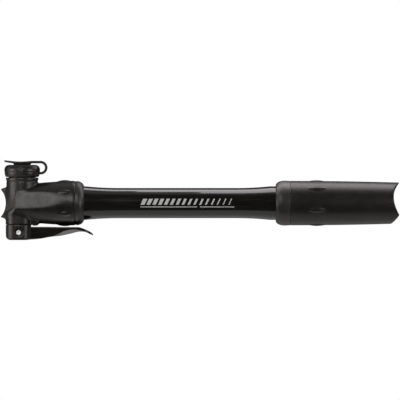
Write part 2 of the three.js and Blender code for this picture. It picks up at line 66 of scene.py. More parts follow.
barrel_low, barrel_high = map(np.array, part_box("barrel"))
ORIGIN = np.array([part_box("head_jacket")[0][0], *((barrel_low + barrel_high) / 2)[1:]])


def to_frame(points):
    """Pump millimetres to metres in the part's frame."""
    return ORIGIN + MM * np.asarray(points, float)


def span(node):
    """A CAD node's lowest and highest corner, in pump millimetres."""
    return [(np.array(corner) - ORIGIN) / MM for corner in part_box(node)]


# ------------------------------------------------------------------ places fixed by the CAD

NUT_LOW, NUT_HIGH = span("collar_nut")
BOSS_X = (NUT_LOW[0] + NUT_HIGH[0]) / 2
NECK_TOP = span("head_core")[1][1]
CLEVIS_BOTTOM = span("head_core")[0][1]
PIN_X, PIN_Y = ((span("lever_pin")[0] + span("lever_pin")[1]) / 2)[:2]
PIN_HALF = span("lever_pin")[1][2]
JACKET_END = span("head_jacket")[1][0]
HEAD_FACE = span("head_collar")[1][0]
HANDLE_START, PARTING = (corner[0] for corner in span("handle_collar"))
GRIP_START, LENGTH = span("handle_grip")[0][0], span("handle_grip")[1][0]
BARREL_START, BARREL_STOP = span("barrel")[0][0], span("barrel")[1][0]
BARREL_END_R = span("barrel")[1][2]
ROD_START, ROD_STOP = span("piston_rod")[0][0], span("piston_rod")[1][0]
ROD_R = span("piston_rod")[1][2]
END_CAP_LOW, END_CAP_HIGH = span("barrel_end_cap")
CORE_LOW, CORE_HIGH = span("handle_core")
CAP_LOW, CAP_HIGH = span("dust_cap")
RING_LOW, RING_HIGH = span("strap_ring")
GASKET_LOW, GASKET_HIGH = span("valve_gasket")
LEVER_TIP = span("thumb_lever")[1][0]
LEVER_TOP = -12.97
SEAM_Y = -11.8
BOSS_TOP = 13.95

# ------------------------------------------------------------------ materials


def new_material(name):
    material = bpy.data.materials.new(name)
    material.use_nodes = True
    tree = material.node_tree
    return material, tree, tree.nodes["Principled BSDF"]


def noise(tree, scale, detail):
    """Object-space noise with this many cycles to the metre."""
    place = tree.nodes.new("ShaderNodeTexCoord")
    texture = tree.nodes.new("ShaderNodeTexNoise")
    texture.inputs["Scale"].default_value = scale
    texture.inputs["Detail"].default_value = detail
    tree.links.new(place.outputs["Object"], texture.inputs["Vector"])
    return texture.outputs["Fac"]


def ramp(tree, factor, low, high):
    """A colour that runs from low to high as factor crosses the middle of a noise's range."""
    node = tree.nodes.new("ShaderNodeValToRGB")
    for element, place, colour in zip(node.color_ramp.elements, (0.35, 0.65), (low, high)):
        element.position = place
        element.color = (*colour, 1)
    tree.links.new(factor, node.inputs["Fac"])
    return node.outputs["Color"]


def spread(tree, factor, low, high):
    """A number that runs from low to high as factor crosses the middle of a noise's range."""
    node = tree.nodes.new("ShaderNodeMapRange")
    node.inputs["From Min"].default_value = 0.3
    node.inputs["From Max"].default_value = 0.7
    node.inputs["To Min"].default_value = low
    node.inputs["To Max"].default_value = high
    tree.links.new(factor, node.inputs["Value"])
    return node.outputs["Result"]


def bump(tree, shader, height, depth_mm, strength):
    node = tree.nodes.new("ShaderNodeBump")
    node.inputs["Strength"].default_value = strength
    node.inputs["Distance"].default_value = depth_mm * MM
    tree.links.new(height, node.inputs["Height"])
    tree.links.new(node.outputs["Normal"], shader.inputs["Normal"])


WARM = (1, 0.965, 0.93, 1)  # the tint of light that glances off a moulded surface


def moulded(name, colour, roughness, grain_mm, depth_mm, mottle=0.25, specular=0.5):
    """Moulded rubber or plastic: an even colour, slightly mottled, with the mould's fine grain."""
    material, tree, shader = new_material(name)
    light = [c * (1 + mottle) for c in colour]
    dark = [c * (1 - mottle) for c in colour]
    patches = noise(tree, 90, 4)
    tree.links.new(ramp(tree, patches, dark, light), shader.inputs["Base Color"])
    handled = noise(tree, 220, 3)
    tree.links.new(spread(tree, handled, roughness[0], roughness[1]), shader.inputs["Roughness"])
    shader.inputs["Specular IOR Level"].default_value = specular
    shader.inputs["Specular Tint"].default_value = WARM
    bump(tree, shader, noise(tree, 1 / (grain_mm * MM), 1), depth_mm, 0.6)
    return material


def polished(name, colour, roughness, brushed_mm=None):
    """Bare metal, with fine lathe marks round the barrel's axis where it is brushed."""
    material, tree, shader = new_material(name)
    shader.inputs["Base Color"].default_value = (*colour, 1)
    shader.inputs["Metallic"].default_value = 1
    smears = noise(tree, 400, 3)
    tree.links.new(spread(tree, smears, roughness[0], roughness[1]), shader.inputs["Roughness"])
    if brushed_mm:
        place = tree.nodes.new("ShaderNodeTexCoord")
        stretch = tree.nodes.new("ShaderNodeMapping")
        stretch.inputs["Scale"].default_value = (1 / (brushed_mm * MM), 20, 20)
        texture = tree.nodes.new("ShaderNodeTexNoise")
        texture.inputs["Scale"].default_value = 1
        tree.links.new(place.outputs["Object"], stretch.inputs["Vector"])
        tree.links.new(stretch.outputs["Vector"], texture.inputs["Vector"])
        bump(tree, shader, texture.outputs["Fac"], 0.01, 0.5)
    return material


def gloss_lacquer():
    """The barrel's gloss black lacquer, over metal drawn along its length."""
    material, tree, shader = new_material("gloss_lacquer")
    place = tree.nodes.new("ShaderNodeTexCoord")
    stretch = tree.nodes.new("ShaderNodeMapping")
    stretch.inputs["Scale"].default_value = (60, 1500, 1500)
    drawn = tree.nodes.new("ShaderNodeTexNoise")
    drawn.inputs["Scale"].default_value = 1
    drawn.inputs["Detail"].default_value = 3
    tree.links.new(place.outputs["Object"], stretch.inputs["Vector"])
    tree.links.new(stretch.outputs["Vector"], drawn.inputs["Vector"])
    tree.links.new(
        ramp(tree, drawn.outputs["Fac"], (0.004, 0.0035, 0.003), (0.009, 0.0075, 0.006)),
        shader.inputs["Base Color"],
    )
    tree.links.new(spread(tree, drawn.outputs["Fac"], 0.1, 0.22), shader.inputs["Roughness"])
    shader.inputs["Coat Weight"].default_value = 0.3
    shader.inputs["Coat Roughness"].default_value = 0.06
    bump(tree, shader, noise(tree, 700, 2), 0.004, 0.4)
    return material


GRIP_RUBBER = moulded("grip_rubber", (0.0078, 0.0064, 0.0058), (0.34, 0.43), 0.14, 0.012)
RING_RUBBER = moulded("ring_rubber", (0.0078, 0.0064, 0.0058), (0.42, 0.5), 0.14, 0.008, specular=0.75)
BLACK_PLASTIC = moulded("black_plastic", (0.0078, 0.0066, 0.006), (0.33, 0.42), 0.12, 0.008)
GLOSS_PLASTIC = moulded("gloss_plastic", (0.0045, 0.004, 0.0028), (0.17, 0.24), 0.2, 0.003)
SOFT_RUBBER = moulded("soft_rubber", (0.005, 0.0042, 0.0038), (0.48, 0.62), 0.2, 0.01)
NYLON = moulded("white_nylon", (0.68, 0.65, 0.58), (0.42, 0.55), 0.3, 0.006, mottle=0.05)
BARREL_BLACK = gloss_lacquer()
PRINT = moulded("printed_ink", (0.62, 0.62, 0.61), (0.35, 0.45), 0.2, 0.002, mottle=0.06)
ALUMINIUM = polished("bare_aluminium", (0.72, 0.72, 0.73), (0.22, 0.34), brushed_mm=0.25)
STEEL = polished("bright_steel", (0.86, 0.85, 0.84), (0.16, 0.3))
PEENED_STEEL = polished("peened_steel", (0.95, 0.95, 0.94), (0.5, 0.6))

# ------------------------------------------------------------------ making meshes


def piece(name, points, faces, body, material, replaces=()):
    """A mesh in pump millimetres that moves with a CAD body."""
    mesh = bpy.data.meshes.new(name)
    mesh.from_pydata(to_frame(points).tolist(), [], [tuple(map(int, f)) for f in faces])
    mesh.materials.append(material)
    mesh.polygons.foreach_set("use_smooth", [True] * len(mesh.polygons))
    mesh.update()
    made = bpy.data.objects.new(name, mesh)
    bpy.context.scene.collection.objects.link(made)
    if body:
        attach(made, body)
    if replaces:
        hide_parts(*replaces)
    return made


def quads_between(rows, columns, close_rows=False):
    """Faces of a grid of points whose columns run round and join up."""
    faces = []
    for i in range(rows if close_rows else rows - 1):
        here, there = i * columns, (i + 1) % rows * columns
        for j in range(columns):
            k = (j + 1) % columns
            faces.append((here + j, there + j, there + k, here + k))
    return faces


CORNER_STEPS = 4


def rounded(outline, radius):
    """An outline with its corners rounded. A corner's own radius can be its third number."""
    made = []
    for i, corner in enumerate(outline):
        here = np.array(corner[:2], float)
        size = corner[2] if len(corner) > 2 else radius
        before = np.array(outline[i - 1][:2], float) - here
        after = np.array(outline[(i + 1) % len(outline)][:2], float) - here
        reach = min(size, 0.45 * np.hypot(*before), 0.45 * np.hypot(*after))
        if reach < 1e-3:
            made.append(tuple(here))
            continue
        start, end = here + before / np.hypot(*before) * reach, here + after / np.hypot(*after) * reach
        for t in np.linspace(0, 1, CORNER_STEPS + 1):
            made.append(tuple((1 - t) ** 2 * start + 2 * t * (1 - t) * here + t**2 * end))
    return made


def bend(start, corner, end, steps):
    """Points along a curve that leaves start towards corner and arrives at end from it."""
    a, b, c = (np.array(p, float) for p in (start, corner, end))
    return [tuple((1 - t) ** 2 * a + 2 * t * (1 - t) * b + t**2 * c) for t in np.linspace(0, 1, steps)]


SIDES = 160  # round a turned piece that shows


def turned(name, outline, body, material, replaces, edge, along="x", sides=SIDES):
    """A ring turned about the barrel's axis ("x") or the valve's ("y") from its closed section, a list
    of (place along the axis, radius)."""
    section = rounded(outline, edge)
    signed = sum(a[0] * b[1] - b[0] * a[1] for a, b in zip(section, section[1:] + section[:1]))
    if signed < 0:
        section.reverse()
    angles = np.linspace(0, 2 * math.pi, sides, endpoint=False)
    if along == "y":
        angles = -angles
    points = []
    for place, radius in section:
        a, b = radius * np.cos(angles), radius * np.sin(angles)
        c = np.full(sides, place)
        points.append(np.stack([c, a, b] if along == "x" else [BOSS_X + a, c, b], axis=1))
    faces = quads_between(len(section), sides, close_rows=True)
    return piece(name, np.concatenate(points), faces, body, material, replaces)


# ------------------------------------------------------------------ solid shapes as distance fields
#
# A field gives the distance from each point to a surface, negative inside. Moulded pieces are built
# from fields, because joins between fields can be filleted, and then skinned with quads.


def common(a, b, rounding=0.0):
    """What is inside both fields, with its edges rounded."""
    top = np.maximum(a, b)
    if rounding:
        top = top + np.maximum(rounding - np.abs(a - b), 0) ** 2 / (4 * rounding)
    return top


def join(a, b, fillet=0.0):
    """What is inside either field, with a fillet in the corner."""
    return -common(-a, -b, fillet)


def carve(a, b, rounding=0.0):
    """What is inside the first field but not the second."""
    return common(a, -b, rounding)


def between(value, low, high):
    return np.maximum(low - value, value - high)


def through(*knots):
    """A smooth curve through (place, value) knots, constant beyond them."""
    places, values = np.array(knots, float).T
    chords = np.diff(values) / np.diff(places)
    slopes = np.concatenate([chords[:1], (chords[1:] + chords[:-1]) / 2, chords[-1:]])

    def curve(x):
        x = np.clip(x, places[0], places[-1])
        i = np.clip(np.searchsorted(places, x, side="right") - 1, 0, len(places) - 2)
        width = places[i + 1] - places[i]
        t = (x - places[i]) / width
        rise = values[i] * (1 + 2 * t) * (1 - t) ** 2 + values[i + 1] * t**2 * (3 - 2 * t)
        return rise + width * (slopes[i] * t * (1 - t) ** 2 - slopes[i + 1] * t**2 * (1 - t))

    return curve


def flat_outline(points):
    """The field of a closed outline in a plane."""
    corners = np.array([p[:2] for p in points], float)

    def field(a, b):
        shape = np.broadcast(a, b).shape
        nearest, inside = np.full(shape, np.inf), np.zeros(shape, bool)
        for (x0, y0), (x1, y1) in zip(corners, np.roll(corners, -1, axis=0)):
            dx, dy = x1 - x0, y1 - y0
            t = np.clip(((a - x0) * dx + (b - y0) * dy) / (dx * dx + dy * dy + 1e-12), 0, 1)
            nearest = np.minimum(nearest, (a - x0 - t * dx) ** 2 + (b - y0 - t * dy) ** 2)
            crosses = (y0 <= b) != (y1 <= b)
            inside ^= crosses & (a < x0 + (b - y0) / (dy if dy else 1) * dx)
        return np.where(inside, -1, 1) * np.sqrt(nearest)

    return field


def skin(field, low, high, step):
    """Quads over a field's surface, inside a box: a point in each cell that the surface crosses, then
    moved onto the surface along the field's slope."""
    axes = [np.arange(a - 1.5 * step, b + 2.5 * step, step) for a, b in zip(low, high)]
    start = np.array([a[0] for a in axes])
    values = np.broadcast_to(field(*np.ix_(*axes)), [len(a) for a in axes])
    inside = values < 0
    cells = np.array(values.shape) - 1
    total, count = np.zeros((cells.prod(), 3)), np.zeros(cells.prod())
    strides = np.array([cells[1] * cells[2], cells[2], 1])
    corners_of = []
    for axis in range(3):
        near = np.take(values, range(values.shape[axis] - 1), axis)
        far = np.take(values, range(1, values.shape[axis]), axis)
        found = np.argwhere((near < 0) != (far < 0))
        share = near[tuple(found.T)] / (near[tuple(found.T)] - far[tuple(found.T)])
        crossing = found.astype(float)
        crossing[:, axis] += share
        u, v = (axis + 1) % 3, (axis + 2) % 3
        around = []
        for du, dv in ((0, 0), (-1, 0), (-1, -1), (0, -1)):
            cell = found.copy()
            cell[:, u] += du
            cell[:, v] += dv
            index = cell @ strides
            np.add.at(total, index, crossing)
            np.add.at(count, index, 1)
            around.append(index)
        quads = np.stack(around, axis=1)
        leaving = inside[tuple(found.T)]
        quads[~leaving] = quads[~leaving][:, ::-1]
        corners_of.append(quads)
    quads = np.concatenate(corners_of)
    used, faces = np.unique(quads, return_inverse=True)
    points = start + step * total[used] / count[used, None]
    return settled(points, field, step), faces.reshape(-1, 4)


SETTLING_ROUNDS = 4
LONGEST_MOVE, FARTHEST = 0.35, 0.6  # how far a point may move, in one round and in all, in cells


def settled(points, field, step):
    """Points moved onto a field's surface along the field's slope."""
    first, probe = points, 0.05 * step
    for _ in range(SETTLING_ROUNDS):
        x, y, z = points.T
        here = field(x, y, z)
        slope = np.stack(
            [
                field(x + probe, y, z) - field(x - probe, y, z),
                field(x, y + probe, z) - field(x, y - probe, z),
                field(x, y, z + probe) - field(x, y, z - probe),
            ],
            axis=1,
        ) / (2 * probe)
        steep = np.maximum((slope**2).sum(axis=1), 0.05)
        shift = -(here / steep)[:, None] * slope
        reach = np.maximum(np.linalg.norm(shift, axis=1) / (LONGEST_MOVE * step), 1)
        drift = points + shift / reach[:, None] - first
        strayed = np.maximum(np.linalg.norm(drift, axis=1) / (FARTHEST * step), 1)
        points = first + drift / strayed[:, None]
    return points


def moulding(name, field, low, high, step, body, material, replaces):
    """A piece skinned from its field."""
    points, faces = skin(field, low, high, step)
    return piece(name, points, faces, body, material, replaces)


def oval(a, b, half_a, half_b):
    """An oval bar's field, with its slope made even."""
    reach = np.sqrt((a / half_a) ** 2 + (b / half_b) ** 2) + 1e-9
    slope = np.sqrt((a / half_a**2) ** 2 + (b / half_b**2) ** 2) / reach + 1e-9
    return (reach - 1) / slope


def squircle(a, b, half_a, half_b, power):
    """Between an ellipse, whose power is 2, and a rectangle, whose power is very high."""
    reach = (np.abs(a / half_a) ** power + np.abs(b / half_b) ** power) ** (1 / power)
    return (reach - 1) * min(half_a, half_b)


def round_box(a, b, low, high, corner):
    """A rectangle with round corners, in a plane."""
    p = np.abs(a - (low[0] + high[0]) / 2) - (high[0] - low[0]) / 2 + corner
    q = np.abs(b - (low[1] + high[1]) / 2) - (high[1] - low[1]) / 2 + corner
    return np.hypot(np.maximum(p, 0), np.maximum(q, 0)) + np.minimum(np.maximum(p, q), 0) - corner


BUMPS = 6
BUMP_HALF_WIDTH = 1.5
BUMP_SUNK = 0.12  # below the surface that a bump's edge stands on


def almond_bumps(x, y, z, middle, half_length, surface, rise, turn_degrees):
    """The ring of almond-shaped bumps that head and grip share."""
    total = np.inf
    taper = np.clip(1 - ((x - middle) / half_length) ** 2, 0.02, 1)
    for i in range(BUMPS):
        angle = math.radians(turn_degrees + 360 * i / BUMPS)
        out = y * math.cos(angle) + z * math.sin(angle) - surface + BUMP_SUNK
        side = z * math.cos(angle) - y * math.sin(angle)
        high, wide = (rise + BUMP_SUNK) * taper, BUMP_HALF_WIDTH * taper
        total = np.minimum(total, (np.hypot(out / high, side / wide) - 1) * high)
    return np.maximum(total, np.abs(x - middle) - half_length)


# ------------------------------------------------------------------ head

# Half of the body's height, which is along the valve's axis, and half of its depth, across both axes.
# Both end in the raised hem of the rubber.
HEAD_HIGH = through(
    (-1, 7.6), (0, 7.8), (2.4, 8.5), (8, 9.3), (14, 10.2), (21, 11.05), (29, 11.65), (38, 12.03),
    (39.4, 12.2), (41, 12.03),
)
HEAD_DEEP = through(
    (-1, 8.3), (2.4, 9.4), (8, 10.5), (13, 11.05), (18.4, 11.5), (24, 11.9), (29, 12.05), (38, 12.05),
    (39.4, 12.2), (41, 12.03),
)
CHEEK = {
    "x": 8, "half": 9.45, "taper": 0.11, "end_taper": 1.15, "lean": 0.15, "crown": 0.006, "horn": 0.9,
}
SADDLE_R, SADDLE_DEPTH = 11.6, 2.75
GUSSET = {"low": (8, -12.35), "high": (20.75, -3), "corner": 1.4, "half": 5.4}
SOCKET_R, SOCKET_START = 10.9, 30  # the jacket's mouth, which takes the hard moulding's barrel socket
JACKET_SHRINK = 0.15  # how far the rubber on the block stands inside the clevis below it
BLOCK = {"x": 9.85, "half_width": 7.35, "half_depth": 8.9, "power": 2.6}
SLOT_HALF = 4.8
CLEVIS_CEILING = -12.1
CLEVIS_BACK = 4.1
BOSS_PROFILE = through((11, 8.67), (11.7, 8.62), (12.05, 8.45), (12.5, 8.8), (13, 8.88), (14, 8.85))


def cheeks(x, y, z):
    """The head's two cheeks, nearly flat. They lean in towards the valve and taper towards the palm end,
    where they close in fast. Only the saddle's two horns are left between them at the very end."""
    past = x - CHEEK["x"]
    half = CHEEK["half"] + np.minimum(CHEEK["taper"] * past, CHEEK["end_taper"] * past)
    crowned = CHEEK["lean"] * y + CHEEK["crown"] * np.maximum(y + 2, 0) ** 2
    return np.abs(z) - np.maximum(half - crowned, CHEEK["horn"])


def valve_radius(x, z):
    return np.hypot(x - BOSS_X, z)


def head_block(x, z, shrink=0.0):
    """The lever's end of the head, in plan."""
    width, depth = BLOCK["half_width"] - shrink, BLOCK["half_depth"] - shrink
    return squircle(x - BLOCK["x"], z, width, depth, BLOCK["power"])


CORE_RADIUS = through((5, 4.6), (12, 8.1), (21, 9.7), (30, 10.3), (41, 10.7))
CORE_START = 5
RUBBER = 0.85  # how thick the rubber is on the block
NECK_R, BORE_WALL_R = 7.5, 5.4  # the neck for the nut, and the wall round the plunger's bore


def core_outside(x, y, z):
    """The hard moulding that the rubber covers."""
    along = np.hypot(y, z) - CORE_RADIUS(x)
    along = common(along, between(x, CORE_START, JACKET_END), 0.3)
    foot = SEAM_Y - 0.3
    block = common(head_block(x, z, JACKET_SHRINK + RUBBER), between(y, foot, -4))
    lower = common(valve_radius(x, z) - BORE_WALL_R, between(y, foot, 0))
    upper = common(valve_radius(x, z) - NECK_R, between(y, 0, NECK_TOP), 0.3)
    return join(join(join(along, block), lower), upper)


def jacket_body(x, y, z):
    """The rubber round the barrel's end, with its cheeks and its ring of bumps."""
    body = oval(y, z, HEAD_HIGH(x), HEAD_DEEP(x))
    body = common(body, cheeks(x, y, z), 0.35)
    body = common(body, between(x, -2, JACKET_END), 0.3)
    bumps = almond_bumps(x, y, z, middle=35.1, half_length=4.5, surface=11.87, rise=0.75, turn_degrees=0)
    return join(body, bumps, 0.25)


def jacket_block(x, y, z):
    """The rubber above the clevis, arched at the top, with the gusset that backs the lever's root."""
    arch = -3.2 - 0.05 * (x - BLOCK["x"]) ** 2
    block = common(head_block(x, z, JACKET_SHRINK), between(y, SEAM_Y + 0.02, arch), 0.5)
    gusset = round_box(x, y, GUSSET["low"], GUSSET["high"], GUSSET["corner"])
    gusset = common(gusset, np.abs(z) - GUSSET["half"], 1.5)
    under_block = np.maximum(x - BLOCK["x"] - BLOCK["half_width"] - 0.2, y - SEAM_Y)
    return join(block, carve(gusset, under_block), 0.6)


def jacket_field(x, y, z):
    boss = common(valve_radius(x, z) - BOSS_PROFILE(y), between(y, 0, BOSS_TOP), 0.4)
    whole = join(join(jacket_body(x, y, z), boss, 0.8), jacket_block(x, y, z), 1.3)
    whole = carve(whole, np.hypot(x + SADDLE_R - SADDLE_DEPTH, y) - SADDLE_R, 0.3)
    whole = carve(whole, core_outside(x, y, z) - 0.12)
    return carve(whole, np.maximum(np.hypot(y, z) - SOCKET_R, SOCKET_START - x))


def clevis_field(x, y, z):
    side = round_box(x, y, (2.5, CLEVIS_BOTTOM), (17.2, -6), 3.0)
    block = common(common(side, head_block(x, z), 0.9), y - SEAM_Y + 0.1, 0.2)
    slot = common(common(CLEVIS_BACK - x, y - CLEVIS_CEILING), np.abs(z) - SLOT_HALF)
    return carve(block, slot, 0.25)


PIN_HOLE_R, SEAT_R, SEAT_DEPTH = 1.42, 2.5, 0.75


def pin_hole(x, y, z):
    """The pin's hole, with the shallow seat round its end."""
    radius = np.hypot(x - PIN_X, y - PIN_Y)
    seat = common(radius - SEAT_R, PIN_HALF - SEAT_DEPTH - np.abs(z), 0.15)
    return join(radius - PIN_HOLE_R, seat)


# Where the gasket's bore bottoms, where the check valve's starts and where the barrel's ends.
GASKET_FLOOR, CHECK_VALVE_START, BARREL_FLOOR = 4.5, 26.2, 30.2


def core_field(x, y, z):
    radius, along = valve_radius(x, z), np.hypot(y, z)
    whole = join(core_outside(x, y, z), clevis_field(x, y, z))
    cam_room = round_box(x, y, (6.3, CLEVIS_CEILING - 0.5), (14, -10.1), 0.2)
    gasket_bore = np.maximum(radius - 6.2, GASKET_FLOOR - y)
    plunger_bore = np.maximum(radius - 4.2, between(y, CLEVIS_CEILING - 0.5, GASKET_FLOOR + 0.1))
    air_way = np.maximum(along - 1.5, between(x, BOSS_X, CHECK_VALVE_START + 0.1))
    check_valve_bore = np.maximum(along - 5.2, between(x, CHECK_VALVE_START, BARREL_FLOOR + 0.1))
    barrel_bore = np.maximum(along - BARREL_END_R - 0.2, BARREL_FLOOR - x)
    holes = [
        gasket_bore, plunger_bore, air_way, check_valve_bore, barrel_bore,
        np.maximum(cam_room, np.abs(z) - SLOT_HALF), pin_hole(x, y, z),
    ]
    for hole in holes:
        whole = carve(whole, hole, 0.12)
    return whole


def make_jacket(step):
    low, high = span("head_jacket")
    moulding("rubber_jacket", jacket_field, low, high, step, "head", GRIP_RUBBER,
             ["head_jacket"])


def make_core(step):
    low, high = span("head_core")
    moulding("hard_core", core_field, low, high, step, "head", BLACK_PLASTIC,
             ["head_core"])


COLLAR = {"x": 42.2, "r": 12.05, "start_r": 11.98}
COLLAR_SHORT = 0.7  # how far the collar's visible face stops short of the CAD one's


def make_collar_ring():
    """The ring that closes the head, whose shoulder rounds down to the barrel."""
    inner, start, face = BARREL_END_R + 0.2, JACKET_END + 0.08, HEAD_FACE - COLLAR_SHORT
    shoulder = bend((COLLAR["x"], COLLAR["r"]), (44.6, 11.7), (face, inner + 0.15), 12)
    outline = [(start, inner), (start, COLLAR["start_r"], 0.2), *shoulder, (face, inner)]
    turned("collar_ring", outline, "head", RING_RUBBER, ["head_collar"], edge=0.12)


DIMPLE_DEPTH, DIMPLE_SPREAD = 0.28, 0.3  # the spread is a share of the pin's radius
PIN_SIDES = 48


def pin_profile():
    """The pin's section from one peened end to the other, as (radius, place) from axis to axis."""
    radius = (span("lever_pin")[1] - span("lever_pin")[0])[0] / 2
    shares = np.linspace(0, 0.82, 12)
    dimple = [(radius * s, PIN_HALF - DIMPLE_DEPTH * math.exp(-((s / DIMPLE_SPREAD) ** 2))) for s in shares]
    half = [*dimple, (radius * 0.96, PIN_HALF - 0.08), (radius, PIN_HALF - 0.25)]
    return half + [(r, -z) for r, z in reversed(half)]


def make_lever_pin():
    profile, sides = pin_profile(), PIN_SIDES
    angles = np.linspace(0, 2 * math.pi, sides, endpoint=False)
    points, rows = [], profile[1:-1]
    for radius_here, place in rows:
        across, up = radius_here * np.cos(angles), radius_here * np.sin(angles)
        points.append(np.stack([PIN_X + across, PIN_Y + up, np.full(sides, place)], axis=1))
    points = np.concatenate([*points, [[PIN_X, PIN_Y, profile[0][1]]], [[PIN_X, PIN_Y, profile[-1][1]]]])
    faces = quads_between(len(rows), sides)
    top, bottom, last = len(points) - 2, len(points) - 1, (len(rows) - 1) * sides
    for j in range(sides):
        k = (j + 1) % sides
        faces += [(top, j, k), (bottom, last + k, last + j)]
    piece("peened_pin", points, faces, "head", PEENED_STEEL, ["lever_pin"])


# ------------------------------------------------------------------ thumb lever

CAM_LOW, CAM_LIFT = 3.8, 1.6
# The lever from its side: its flat top and upturned tip, its keel, and the lower edge of its flanks.
LEVER_UPPER = through(
    (30, LEVER_TOP), (40, LEVER_TOP), (42.8, -13.1), (45.5, -13.95), (48.8, -15.3), (50.3, -16.2),
)
LEVER_KEEL = through(
    (14, -20.1), (21.5, -19.5), (26.9, -18.55), (33.5, -17.75), (37.9, -16.8), (43.3, -15.6),
    (46.6, -15.9), (48.8, -16.95), (50.3, -17.6),
)
LEVER_SIDE_LOW = through(
    (24, -19.2), (29.1, -17.75), (34.6, -15.2), (39, -14.25), (43.3, -14.6), (46.6, -15.75), (50.3, -17.4),
)
LEVER_HALF = through((19.5, 4.5), (26, 4.8), (34, 5.6), (40, 6.5), (43, 6.7))
UNDER_SLOPE = 1.2  # how far the sloping underside runs in, for each millimetre that it drops
PAD_END = 43.0
TIP_POWER = 2.4  # how square the tip is, seen from below
THUMB_DISH = {"x": 26, "run": 14, "half": 7.2, "depth": 0.55}
HUB_HALF, HUB_HOLE_R = 4.5, 1.48


def cam(x, y):
    """The cam's rim: its reach from the pin grows evenly through a quarter turn, so the plunger does too."""
    total = -np.inf
    for degrees in range(0, 360, 10):
        turn = np.clip((degrees - 90) / 90, 0, 1)
        back = np.clip((degrees - 180) / 90, 0, 1)
        reach = CAM_LOW + CAM_LIFT * (turn - back * back * (3 - 2 * back))
        angle = math.radians(degrees)
        total = np.maximum(total, (x - PIN_X) * math.cos(angle) + (y - PIN_Y) * math.sin(angle) - reach)
    return total


def lever_field(x, y, z):
    out = np.abs(z)
    past = np.clip((x - PAD_END) / (LEVER_TIP - PAD_END), 0, 1)
    half = LEVER_HALF(x) * (1 - past**TIP_POWER) ** (1 / TIP_POWER)
    side = (out - half) / np.sqrt(1 + 2.5 * past)
    upper, keel, wall = LEVER_UPPER(x), LEVER_KEEL(x), LEVER_SIDE_LOW(x)
    growing = np.clip((x - THUMB_DISH["x"]) / THUMB_DISH["run"], 0, 1)
    dished = THUMB_DISH["depth"] * growing * (1 - (out / THUMB_DISH["half"]) ** 2)
    slope = (out - half + UNDER_SLOPE * (wall - y)) / math.hypot(1, UNDER_SLOPE)
    arm = common(common(y - upper + np.maximum(dished, 0), keel - y, 0.25), side, 0.35)
    arm = common(arm, slope, 0.3)
    arm = common(arm, PIN_X - x)
    hub = common(cam(x, y), out - HUB_HALF, 0.3)
    return carve(join(arm, hub, 0.3), np.hypot(x - PIN_X, y - PIN_Y) - HUB_HOLE_R, 0.1)


def make_lever(step):
    low, high = span("thumb_lever")
    moulding("lock_lever", lever_field, low, high, step, "lever", GLOSS_PLASTIC,
             ["thumb_lever"])


# ------------------------------------------------------------------ valve stack

FLUTES = 8
FLUTE_TURN = math.radians(3)
FLUTE_R, FLUTE_OUT = 0.6, 10.05  # a flute's radius, and how far out its middle is
NUT_OUTLINE = [
    (NUT_LOW[1], 7.7), (NUT_LOW[1], 8.7), (14.45, 9.0), (15.3, 9.5), (15.62, 9.5), (15.62, 8.45),
    (17.06, 8.45), (17.06, 9.65), (17.45, 9.8), (18.8, 9.75), (19.6, 9.45), (20.3, 8.9), (20.75, 8.1),
    (NUT_HIGH[1], 7.2), (NUT_HIGH[1], 4.9), (20.15, 4.6), (18.2, 4.6), (18.2, 7.7),
]
nut_section = flat_outline([(radius, place) for place, radius in NUT_OUTLINE])


def nut_field(x, y, z):
    radius = valve_radius(x, z)
    body = nut_section(radius, y)
    for i in range(FLUTES):
        angle = 2 * math.pi * i / FLUTES - FLUTE_TURN
        across = np.hypot(z - FLUTE_OUT * math.cos(angle), x - BOSS_X - FLUTE_OUT * math.sin(angle))
        body = carve(body, across - FLUTE_R, 0.2)
    return body


def make_nut(step):
    moulding("fluted_nut", nut_field, NUT_LOW, NUT_HIGH, step, "nut", BLACK_PLASTIC,
             ["collar_nut"])


TETHER = {"bore": 8.6, "low_r": 9.56, "high_r": 9.66}


def make_tether_ring():
    low, high, bore = RING_LOW[1], RING_HIGH[1], TETHER["bore"]
    ring = [(low, bore), (low, TETHER["low_r"]), (high, TETHER["high_r"]), (high, bore)]
    turned("tether_ring", ring, "strap_anchor", GRIP_RUBBER, ["strap_ring"], 0.08, "y")


GASKET_R, GASKET_MOUTH_R, GASKET_THROAT_R = 6, 3.9, 2.9
WASHER_BORE_R = 4.7


def make_gasket():
    """The gasket that grips the valve."""
    low, high = GASKET_LOW[1], GASKET_HIGH[1]
    gasket = [
        (low, GASKET_THROAT_R), (low, GASKET_R), (high, GASKET_R), (high, GASKET_MOUTH_R + 0.4),
        (high - 0.5, GASKET_MOUTH_R), (12.6, GASKET_MOUTH_R), (11.8, GASKET_THROAT_R),
    ]
    made = turned("gasket", gasket, "head", SOFT_RUBBER, ["valve_gasket"], 0.3, "y")
    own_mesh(made)


def make_washer():
    low, high = (corner[1] for corner in span("gasket_washer"))
    washer = [(low, WASHER_BORE_R), (low, GASKET_R), (high, GASKET_R), (high, WASHER_BORE_R)]
    turned("slip_washer", washer, "head", NYLON, ["gasket_washer"], 0.08, "y")


# ------------------------------------------------------------------ dust cap and strap

